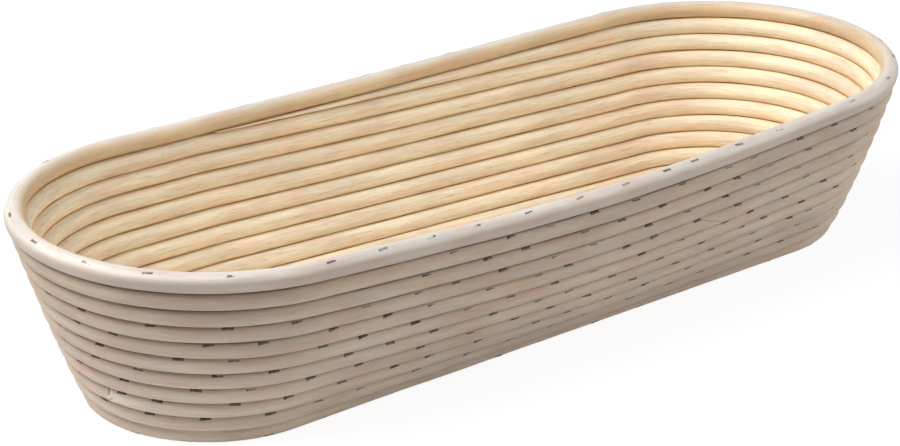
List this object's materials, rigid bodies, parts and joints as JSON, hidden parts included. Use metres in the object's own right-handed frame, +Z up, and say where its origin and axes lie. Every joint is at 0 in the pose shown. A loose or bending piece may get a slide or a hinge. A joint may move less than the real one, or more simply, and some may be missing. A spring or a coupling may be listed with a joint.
{
  "type": "proofing basket",
  "caption": "Long oval bread proofing basket coiled from round rattan cane, with a flat base, flared walls, a closing rim hoop and rows of staples that hold turn to turn.",
  "frame": {"origin": "middle of the plane that the basket rests on", "axes": "+X along the basket, with the upper splice on the -Y side; +Y towards the side on which the coil climbs; +Z up, out of the basket's mouth"},
  "size_m": [0.366, 0.1498, 0.0695],
  "materials": {
    "cane": "bare split-free rattan cane, matt, with fine lengthwise grain",
    "rim_cane": "bare rattan cane, matt, a little paler than the wall",
    "steel": "dull staple wire"
  },
  "bodies": {
    "root": {"base_cane": "cane", "lower_cane": "cane", "middle_cane": "cane", "top_cane": "cane", "rim_hoop": "rim_cane", "base_staples": "steel", "front_staples": "steel", "back_staples": "steel", "left_staples": "steel", "right_staples": "steel", "rim_staples": "steel"}
  },
  "joints": []
}
